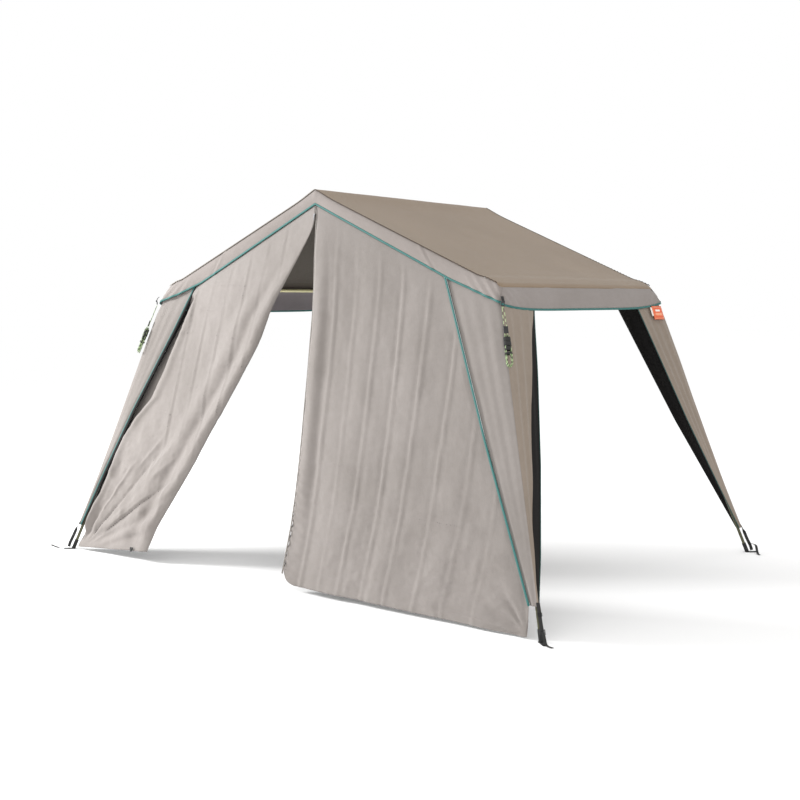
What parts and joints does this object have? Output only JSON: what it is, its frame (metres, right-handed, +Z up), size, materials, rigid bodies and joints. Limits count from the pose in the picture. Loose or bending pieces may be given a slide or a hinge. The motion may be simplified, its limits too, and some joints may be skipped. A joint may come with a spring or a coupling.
{
  "type": "screen house",
  "caption": "Gable-roofed camping shelter on four splayed telescopic legs, with corner wings, a split front curtain that swings out, and guy ropes at the front.",
  "frame": {"origin": "on the ground under the middle of the roof", "axes": "+Z up, +X to the right of someone facing the curtain, the curtain front faces -Y"},
  "size_m": [4.5306, 3.2066, 2.656],
  "materials": {
    "roof_canvas": "matt coated canvas",
    "wall_canvas": "matt coated canvas",
    "piping": "woven piping",
    "pale_pole": "pale powder coat",
    "steel_pole": "dark powder coat",
    "black_plastic": "moulded",
    "boot_rubber": "moulded",
    "webbing": "woven",
    "plated_steel": "plated",
    "label": "woven patch",
    "zip_tape": "woven tape",
    "guy_rope": "braided with a reflective fleck"
  },
  "bodies": {
    "root": {"ridge_pole": "steel_pole", "ridge_hub_front": "black_plastic", "ridge_hub_back": "black_plastic", "eave_bar_left": "pale_pole", "eave_bar_right": "pale_pole", "hinge_pins": "plated_steel", "roof_canopy": "roof_canvas", "valance_front": "roof_canvas", "valance_back": "roof_canvas", "valance_left": "roof_canvas", "valance_right": "roof_canvas", "valance_piping": "piping", "label_patch": "label", "d_rings": "plated_steel", "rafter_front_left": "steel_pole", "rafter_front_right": "steel_pole", "rafter_back_left": "steel_pole", "rafter_back_right": "steel_pole", "corner_bracket_front_left": "black_plastic", "corner_bracket_front_right": "black_plastic", "corner_bracket_back_left": "black_plastic", "corner_bracket_back_right": "black_plastic", "corner_wing_front_left": "wall_canvas", "corner_wing_front_right": "wall_canvas", "corner_wing_back_left": "wall_canvas", "corner_wing_back_right": "wall_canvas"},
    "upper_leg_front_left": {"upper_leg_front_left": "steel_pole", "leg_collar_front_left": "black_plastic"},
    "lower_leg_front_left": {"lower_leg_front_left": "steel_pole", "foot_boot_front_left": "boot_rubber", "foot_strap_front_left": "webbing"},
    "cam_lever_front_left": {"cam_lever_front_left": "black_plastic"},
    "upper_leg_front_right": {"upper_leg_front_right": "steel_pole", "leg_collar_front_right": "black_plastic"},
    "lower_leg_front_right": {"lower_leg_front_right": "steel_pole", "foot_boot_front_right": "boot_rubber", "foot_strap_front_right": "webbing"},
    "cam_lever_front_right": {"cam_lever_front_right": "black_plastic"},
    "upper_leg_back_left": {"upper_leg_back_left": "steel_pole", "leg_collar_back_left": "black_plastic"},
    "lower_leg_back_left": {"lower_leg_back_left": "steel_pole", "foot_boot_back_left": "boot_rubber", "foot_strap_back_left": "webbing"},
    "cam_lever_back_left": {"cam_lever_back_left": "black_plastic"},
    "upper_leg_back_right": {"upper_leg_back_right": "steel_pole", "leg_collar_back_right": "black_plastic"},
    "lower_leg_back_right": {"lower_leg_back_right": "steel_pole", "foot_boot_back_right": "boot_rubber", "foot_strap_back_right": "webbing"},
    "cam_lever_back_right": {"cam_lever_back_right": "black_plastic"},
    "curtain_left": {"curtain_left": "wall_canvas"},
    "curtain_right": {"curtain_right": "wall_canvas", "zip_tape": "zip_tape"},
    "zip_slider": {"zip_slider": "plated_steel"},
    "guy_left": {"guy_rope_left": "guy_rope", "guy_hank_left": "guy_rope", "guy_runner_left": "black_plastic"},
    "guy_right": {"guy_rope_right": "guy_rope", "guy_hank_right": "guy_rope", "guy_runner_right": "black_plastic"}
  },
  "joints": [
    {"name": "leg_fold_front_left", "type": "hinge", "parent": "root", "child": "upper_leg_front_left", "pos_m": [-1.462, -1, 1.955], "axis": [0, -0.9658, 0.2594], "range_deg": [0, 50], "deforming": ["corner_wing_front_left", "foot_strap_front_left", "curtain_left"]},
    {"name": "leg_slide_front_left", "type": "slide", "parent": "upper_leg_front_left", "child": "lower_leg_front_left", "axis": [0.2976, 0.2476, 0.922], "range_m": [0, 0.6], "deforming": ["foot_strap_front_left", "corner_wing_front_left"]},
    {"name": "cam_lever_turn_front_left", "type": "hinge", "parent": "upper_leg_front_left", "child": "cam_lever_front_left", "pos_m": [-1.78095, -1.26189, 0.90271], "axis": [0.7066, -0.7066, -0.0383], "range_deg": [0, 110]},
    {"name": "leg_fold_front_right", "type": "hinge", "parent": "root", "child": "upper_leg_front_right", "pos_m": [1.462, -1, 1.955], "axis": [0, 0.9658, -0.2594], "range_deg": [0, 50], "deforming": ["corner_wing_front_right", "foot_strap_front_right", "curtain_right"]},
    {"name": "leg_slide_front_right", "type": "slide", "parent": "upper_leg_front_right", "child": "lower_leg_front_right", "axis": [-0.2976, 0.2476, 0.922], "range_m": [0, 0.6], "deforming": ["foot_strap_front_right", "corner_wing_front_right"]},
    {"name": "cam_lever_turn_front_right", "type": "hinge", "parent": "upper_leg_front_right", "child": "cam_lever_front_right", "pos_m": [1.78095, -1.26189, 0.90271], "axis": [0.7066, 0.7066, 0.0383], "range_deg": [0, 110]},
    {"name": "leg_fold_back_left", "type": "hinge", "parent": "root", "child": "upper_leg_back_left", "pos_m": [-1.462, 1, 1.955], "axis": [0, -0.9658, -0.2594], "range_deg": [0, 50], "deforming": ["corner_wing_back_left", "foot_strap_back_left"]},
    {"name": "leg_slide_back_left", "type": "slide", "parent": "upper_leg_back_left", "child": "lower_leg_back_left", "axis": [0.2976, -0.2476, 0.922], "range_m": [0, 0.6], "deforming": ["foot_strap_back_left", "corner_wing_back_left"]},
    {"name": "cam_lever_turn_back_left", "type": "hinge", "parent": "upper_leg_back_left", "child": "cam_lever_back_left", "pos_m": [-1.78095, 1.26189, 0.90271], "axis": [-0.7066, -0.7066, 0.0383], "range_deg": [0, 110]},
    {"name": "leg_fold_back_right", "type": "hinge", "parent": "root", "child": "upper_leg_back_right", "pos_m": [1.462, 1, 1.955], "axis": [0, 0.9658, 0.2594], "range_deg": [0, 50], "deforming": ["corner_wing_back_right", "foot_strap_back_right"]},
    {"name": "leg_slide_back_right", "type": "slide", "parent": "upper_leg_back_right", "child": "lower_leg_back_right", "axis": [-0.2976, -0.2476, 0.922], "range_m": [0, 0.6], "deforming": ["foot_strap_back_right", "corner_wing_back_right"]},
    {"name": "cam_lever_turn_back_right", "type": "hinge", "parent": "upper_leg_back_right", "child": "cam_lever_back_right", "pos_m": [1.78095, 1.26189, 0.90271], "axis": [-0.7066, 0.7066, -0.0383], "range_deg": [0, 110]},
    {"name": "curtain_left_swing", "type": "hinge", "parent": "root", "child": "curtain_left", "pos_m": [0, -1.044, 2.565], "axis": [-0.9069, 0, -0.4213], "range_deg": [0, 70], "deforming": ["curtain_left"]},
    {"name": "curtain_right_swing", "type": "hinge", "parent": "root", "child": "curtain_right", "pos_m": [0, -1.044, 2.565], "axis": [-0.9069, 0, 0.4213], "range_deg": [0, 70], "deforming": ["curtain_right"]},
    {"name": "zip_slide", "type": "slide", "parent": "curtain_right", "child": "zip_slider", "axis": [0.0426, -0.1862, -0.9816], "range_m": [0, 2.3]},
    {"name": "guy_swing_left", "type": "hinge", "parent": "root", "child": "guy_left", "pos_m": [-1.524, -1.068, 1.882], "axis": [-0.6392, 0.769, 0], "range_deg": [0, 80]},
    {"name": "guy_swing_right", "type": "hinge", "parent": "root", "child": "guy_right", "pos_m": [1.524, -1.068, 1.882], "axis": [-0.6392, -0.769, 0], "range_deg": [0, 80]}
  ]
}
